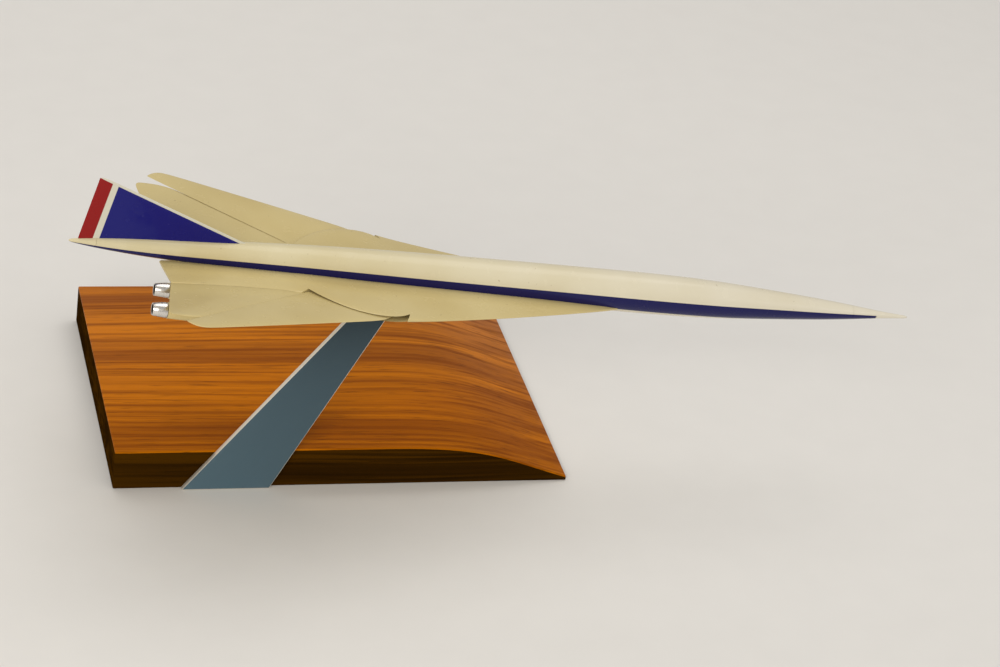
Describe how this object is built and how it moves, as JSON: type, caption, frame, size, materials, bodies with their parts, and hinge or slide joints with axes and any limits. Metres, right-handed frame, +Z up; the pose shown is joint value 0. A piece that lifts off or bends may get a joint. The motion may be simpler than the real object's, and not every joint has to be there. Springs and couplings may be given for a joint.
{
  "type": "desk display model of a swing-wing supersonic airliner on a wooden base",
  "caption": "Desk model of a needle-nosed supersonic airliner with swing wings, underslung engines and a low stripe, held nose-down by a flat metal strut on a curved wooden base.",
  "frame": {"origin": "centre of the wooden base's flat underside", "axes": "+X towards the nose, +Y to the airliner's port side and away from the strut's face of the base, +Z up"},
  "size_m": [0.4638, 0.2609, 0.1878],
  "materials": {
    "cream_gloss": "aged ivory gloss paint",
    "fin_blue": "gloss blue paint with red and white bands",
    "nozzle_metal": "bright turned metal",
    "strut_metal": "brushed blue-grey metal",
    "pin_metal": "plain turned steel",
    "wood": "varnished orange-brown wood"
  },
  "bodies": {
    "airframe_on_stand": {"wooden_base": "wood", "support_strut": "strut_metal", "fuselage_body": "cream_gloss", "tail_cone": "cream_gloss", "nose_cone": "cream_gloss", "tail_fin": "fin_blue", "glove_left": "cream_gloss", "glove_right": "cream_gloss", "pivot_pin_left": "pin_metal", "pivot_pin_right": "pin_metal", "tailplane_left": "cream_gloss", "tailplane_right": "cream_gloss", "engine_pod_1": "cream_gloss", "engine_pod_2": "cream_gloss", "engine_pod_3": "cream_gloss", "engine_pod_4": "cream_gloss", "engine_nozzle_1": "nozzle_metal", "engine_nozzle_2": "nozzle_metal", "engine_nozzle_3": "nozzle_metal", "engine_nozzle_4": "nozzle_metal"},
    "left_wing": {"swing_wing_left": "cream_gloss"},
    "right_wing": {"swing_wing_right": "cream_gloss"}
  },
  "joints": [
    {"name": "left_wing_sweep", "type": "hinge", "parent": "airframe_on_stand", "child": "left_wing", "pos_m": [-0.00936, -0.057, 0.13221], "axis": [-0.1375, 0.0698, -0.988], "range_deg": [0, 42.5]},
    {"name": "right_wing_sweep", "type": "hinge", "parent": "airframe_on_stand", "child": "right_wing", "pos_m": [-0.00936, -0.124, 0.13221], "axis": [0.1375, 0.0698, 0.988], "range_deg": [0, 42.5]}
  ]
}
